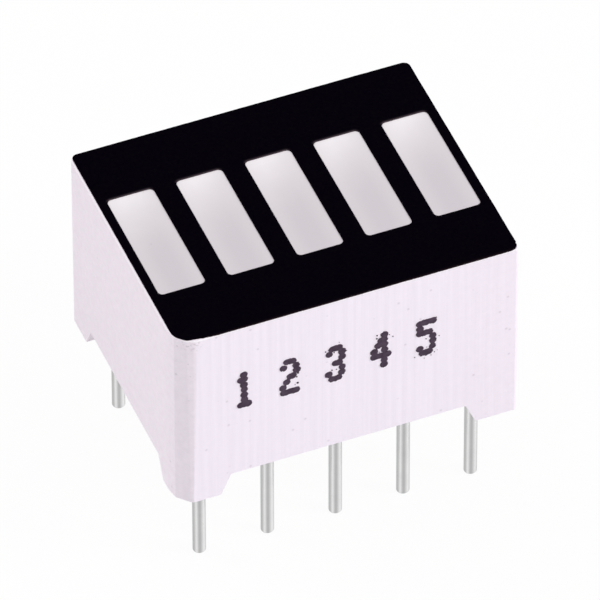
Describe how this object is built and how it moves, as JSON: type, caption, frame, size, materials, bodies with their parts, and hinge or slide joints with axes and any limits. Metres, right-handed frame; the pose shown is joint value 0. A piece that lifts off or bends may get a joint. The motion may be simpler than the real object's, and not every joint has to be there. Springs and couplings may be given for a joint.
{
  "type": "led bar graph display",
  "caption": "Oblong white LED bar graph display with a black face, milky light bars, corner feet and two rows of straight round pins.",
  "frame": {"origin": "middle of the pin pattern on the seating plane, which is the plane under the four feet", "axes": "+X along the row of bars, from the bevelled pin 1 corner; +Y from the numbered front wall to the back wall; +Z out of the lit face"},
  "size_m": [0.0126, 0.01, 0.0114],
  "materials": {
    "white_plastic": "moulded white thermoplastic, fine satin",
    "face_ink": "screen-printed black ink, matte",
    "number_ink": "dark purple-grey ink-jet ink, matte",
    "milky_resin": "cast translucent diffusing resin",
    "back_resin": "poured resin, glossy",
    "tinned_metal": "bright tin plating, drawn wire",
    "solder": "solder, satin",
    "board": "bare glass-fibre laminate",
    "copper": "bare copper foil",
    "silver_paste": "cured silver-filled paste",
    "die": "sawn semiconductor crystal",
    "gold": "drawn gold wire"
  },
  "bodies": {
    "root": {"back_potting": "back_resin", "bond_wire_1": "gold", "bond_wire_2": "gold", "bond_wire_3": "gold", "bond_wire_4": "gold", "bond_wire_5": "gold", "bottom_lands": "copper", "circuit_board": "board", "die_attach_1": "silver_paste", "die_attach_2": "silver_paste", "die_attach_3": "silver_paste", "die_attach_4": "silver_paste", "die_attach_5": "silver_paste", "face_print": "face_ink", "front_marking": "number_ink", "housing": "white_plastic", "led_die_1": "die", "led_die_2": "die", "led_die_3": "die", "led_die_4": "die", "led_die_5": "die", "pin_1": "tinned_metal", "pin_10": "tinned_metal", "pin_2": "tinned_metal", "pin_3": "tinned_metal", "pin_4": "tinned_metal", "pin_5": "tinned_metal", "pin_6": "tinned_metal", "pin_7": "tinned_metal", "pin_8": "tinned_metal", "pin_9": "tinned_metal", "segment_1": "milky_resin", "segment_2": "milky_resin", "segment_3": "milky_resin", "segment_4": "milky_resin", "segment_5": "milky_resin", "solder_1": "solder", "solder_10": "solder", "solder_2": "solder", "solder_3": "solder", "solder_4": "solder", "solder_5": "solder", "solder_6": "solder", "solder_7": "solder", "solder_8": "solder", "solder_9": "solder", "top_copper": "copper"}
  },
  "joints": []
}
